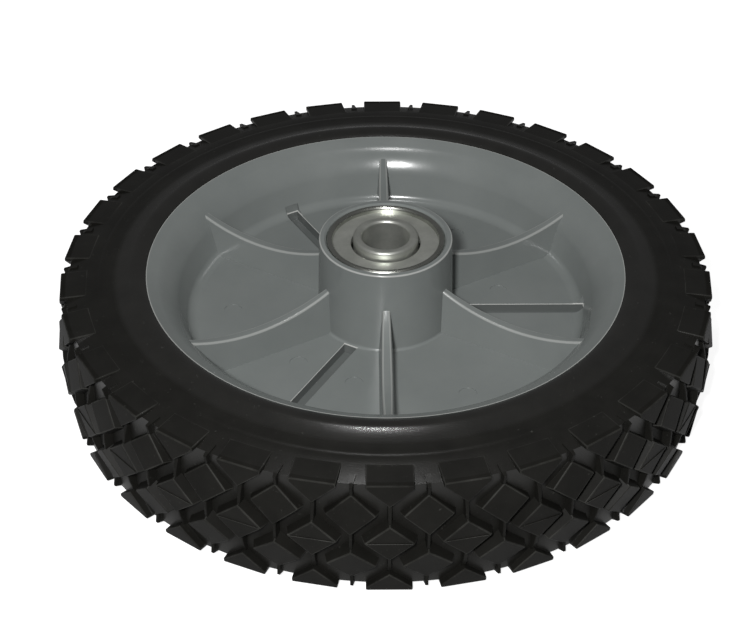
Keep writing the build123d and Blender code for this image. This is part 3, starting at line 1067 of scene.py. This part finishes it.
class WHEEL_OT_bearings(Operator):
    """Build both ball bearings"""

    bl_idname = "mower_wheel.bearings"
    bl_label = "Ball bearings"

    def execute(self, context):
        settings = context.scene.mower_wheel.bearing
        pressed = steel_material("pressed steel", settings.steel, settings.worn, 0.4, 0.5, 0.8)
        drawn = steel_material("drawn steel", settings.steel, settings.worn, 0.2, 0.3, 1.0)
        ground = steel_material("ground steel", settings.steel, settings.worn, 0.28, 0.4, 0.8)
        polished = steel_material("ball steel", settings.chrome, settings.steel, 0.06, 0.12, 1.0)
        for side in SIDES:
            parts = (
                (cup_mesh, "bearing_cup", drawn, "wheel", "pressed_steel", [f"{side}_bearing_cup"]),
                (shield_mesh, "shield", pressed, "wheel", "pressed_steel", [f"{side}_shield"]),
                (ring_mesh, "inner_ring", ground, f"{side}_ring", "ring_steel", [f"{side}_inner_ring"]),
                (
                    ball_set_mesh,
                    "ball_set",
                    polished,
                    f"{side}_balls",
                    "ball_steel",
                    [f"{side}_ball_{number:02d}" for number in range(1, settings.balls + 1)],
                ),
            )
            for make, name, material, body, slot, nodes in parts:
                bm = make(settings)
                if side == "back":
                    bmesh.ops.scale(
                        bm, vec=(1, 1, -1), space=Matrix.Translation((0, 0, -settings.middle)), verts=bm.verts
                    )
                made_piece(bm, f"{side}_{name}_finish", material, body, slot, *nodes)
        return {"FINISHED"}


def add_lamp(name, place, aim, size, power):
    """A soft square lamp that looks at a point."""
    lamp = bpy.data.lights.new(name, "AREA")
    lamp.shape = "SQUARE"
    lamp.size = size
    lamp.energy = power
    holder = bpy.data.objects.new(name, lamp)
    holder.location = place
    holder.rotation_euler = (Vector(aim) - Vector(place)).to_track_quat("-Z", "Y").to_euler()
    bpy.context.scene.collection.objects.link(holder)


def floor_material(settings):
    """Pale floor: white to the camera, with the wheel's shadow kept."""
    material, tree, shader = new_material("pale floor")
    shader.inputs["Base Color"].default_value = opaque(settings.floor)
    shader.inputs["Roughness"].default_value = 0.9
    shader.inputs["Specular IOR Level"].default_value = 0.0
    path = node(tree, "ShaderNodeLightPath").outputs
    beyond = summed(tree, path["Is Glossy Ray"], path["Is Transmission Ray"])
    seen = scaled(tree, path["Is Camera Ray"], settings.seen)
    strength = summed(tree, seen, scaled(tree, beyond, settings.mirrored))
    glow = node(tree, "ShaderNodeEmission", {"Color": (1, 1, 1, 1), "Strength": strength})
    both = node(tree, "ShaderNodeAddShader", {0: shader.outputs["BSDF"], 1: glow.outputs["Emission"]})
    tree.links.new(both.outputs["Shader"], tree.nodes["Material Output"].inputs["Surface"])
    return material


class WHEEL_OT_stage(Operator):
    """Set up the floor, the lamps, the surroundings and the camera"""

    bl_idname = "mower_wheel.stage"
    bl_label = "Stage"

    def execute(self, context):
        settings = context.scene.mower_wheel.stage
        scene = context.scene
        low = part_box("tyre")[0][2]
        bm = bmesh.new()
        ground = Matrix.Translation((0, 0, low))
        bmesh.ops.create_grid(bm, x_segments=1, y_segments=1, size=settings.floor_size / 2, matrix=ground)
        mesh = bpy.data.meshes.new("floor")
        bm.to_mesh(mesh)
        bm.free()
        mesh.materials.append(floor_material(settings))
        floor = bpy.data.objects.new("floor", mesh)
        scene.collection.objects.link(floor)

        under_lamp = (*settings.lamp_place[:2], 0)
        add_lamp("overhead lamp", settings.lamp_place, under_lamp, settings.lamp_size, settings.lamp_power)
        flash = ("flash beside the camera", settings.flash_place, CENTRE)
        add_lamp(*flash, settings.flash_size, settings.flash_power)

        world = bpy.data.worlds.new("studio")
        scene.world = world
        world.use_nodes = True
        surroundings = world.node_tree.nodes["Background"].inputs
        surroundings["Color"].default_value = (1, 1, 1, 1)
        surroundings["Strength"].default_value = settings.surroundings

        camera = bpy.data.cameras.new("photo view")
        camera.lens = settings.lens
        camera.sensor_width = 36
        camera.sensor_fit = "HORIZONTAL"
        camera.clip_start = 0.01
        camera.clip_end = 50
        viewer = bpy.data.objects.new("photo view", camera)
        aim = Matrix.Rotation(settings.azimuth, 4, "Z") @ Matrix.Rotation(pi / 2 - settings.elevation, 4, "X")
        place = aim @ Vector((0, 0, settings.distance))
        look = (
            aim
            @ Matrix.Rotation(settings.pan, 4, "Y")
            @ Matrix.Rotation(settings.tilt, 4, "X")
            @ Matrix.Rotation(-settings.roll, 4, "Z")
        )
        viewer.matrix_world = Matrix.Translation(place) @ look
        scene.collection.objects.link(viewer)
        scene.camera = viewer
        scene.view_settings.view_transform = "Standard"
        return {"FINISHED"}


class WHEEL_PT_panel(Panel):
    """Lists the pieces of the wheel and their settings"""

    bl_label = "Mower wheel"
    bl_idname = "WHEEL_PT_panel"
    bl_space_type = "VIEW_3D"
    bl_region_type = "UI"
    bl_category = "Wheel"

    def draw(self, context):
        settings = context.scene.mower_wheel
        groups = (
            (WHEEL_OT_tyre, settings.tyre),
            (WHEEL_OT_hub, settings.hub),
            (WHEEL_OT_bearings, settings.bearing),
            (WHEEL_OT_stage, settings.stage),
        )
        for operator, group in groups:
            box = self.layout.box()
            box.operator(operator.bl_idname)
            for name in group.__annotations__:
                box.prop(group, name)


CLASSES = (
    TyreSettings,
    HubSettings,
    BearingSettings,
    StageSettings,
    WheelSettings,
    WHEEL_OT_tyre,
    WHEEL_OT_hub,
    WHEEL_OT_bearings,
    WHEEL_OT_stage,
    WHEEL_PT_panel,
)


def register():
    for cls in CLASSES:
        bpy.utils.register_class(cls)
    bpy.types.Scene.mower_wheel = PointerProperty(type=WheelSettings)


def unregister():
    del bpy.types.Scene.mower_wheel
    for cls in reversed(CLASSES):
        bpy.utils.unregister_class(cls)


def main():
    register()
    bpy.ops.mower_wheel.tyre()
    bpy.ops.mower_wheel.hub()
    bpy.ops.mower_wheel.bearings()
    bpy.ops.mower_wheel.stage()
    bpy.context.view_layer.update()


if __name__ == "__main__":
    main()
